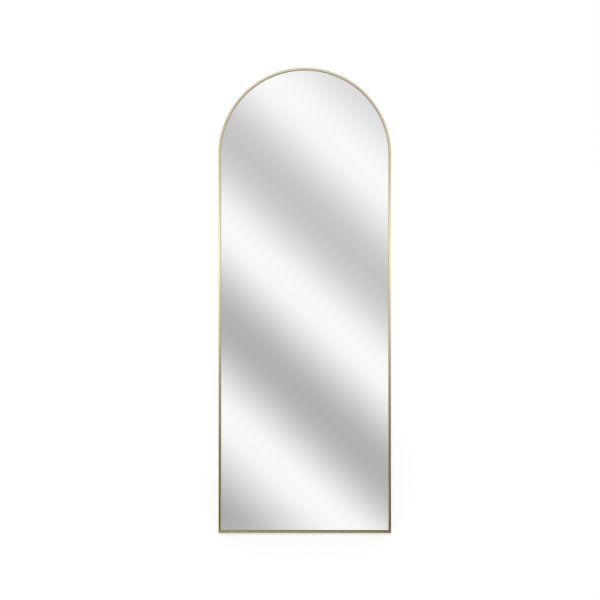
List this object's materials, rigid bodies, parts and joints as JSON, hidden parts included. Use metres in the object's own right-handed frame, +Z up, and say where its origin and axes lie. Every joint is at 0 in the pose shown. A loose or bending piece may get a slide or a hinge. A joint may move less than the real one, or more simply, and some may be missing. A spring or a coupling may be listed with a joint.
{
  "type": "leaning floor mirror",
  "caption": "Tall arched mirror in a slim champagne metal frame, leaning back on a fold-out tube stand, with keyhole hangers for a wall.",
  "frame": {"origin": "On the floor, in the middle of the part's outline seen from above.", "axes": "+Z up, -Y the way the glass faces, so the top leans back towards +Y and the stand is on the +Y side; +X to the right as seen by someone facing the glass."},
  "size_m": [0.612, 0.3721, 1.6214],
  "materials": {
    "frame_metal": "satin champagne anodising",
    "silvered_glass": "polished, silvered on the back",
    "film": "smooth",
    "foam": "soft closed-cell sheet",
    "fibreboard": "plain pressed fibreboard",
    "rubber": "matt",
    "clear_rubber": "soft, milky",
    "plated_steel": "bright zinc plating",
    "cast_zinc": "as cast, tumbled",
    "stand_coating": "satin champagne powder coat"
  },
  "bodies": {
    "mirror": {"arched_frame": "frame_metal", "bottom_rail": "frame_metal", "corner_key_left": "cast_zinc", "corner_key_right": "cast_zinc", "corner_grub_screws": "plated_steel", "mirror_glass": "silvered_glass", "shatterproof_film": "film", "foam_sheet": "foam", "backing_board": "fibreboard", "glass_edge_blocks": "rubber", "hanger_left": "plated_steel", "hanger_right": "plated_steel", "hanger_screws": "plated_steel", "floor_pads": "clear_rubber", "wall_bumpers": "clear_rubber", "hinge_bracket_left": "plated_steel", "hinge_bracket_right": "plated_steel", "bracket_screws": "plated_steel", "hinge_pin_left": "plated_steel", "hinge_pin_right": "plated_steel"},
    "stand": {"stand_tube": "stand_coating", "stand_knuckle_left": "cast_zinc", "stand_knuckle_right": "cast_zinc", "foot_sleeve_left": "rubber", "foot_sleeve_right": "rubber"}
  },
  "joints": [
    {"name": "stand_fold", "type": "hinge", "parent": "mirror", "child": "stand", "pos_m": [0, 0.02946, 0.91274], "axis": [-1, 0, 0], "range_deg": [0, 17]}
  ]
}
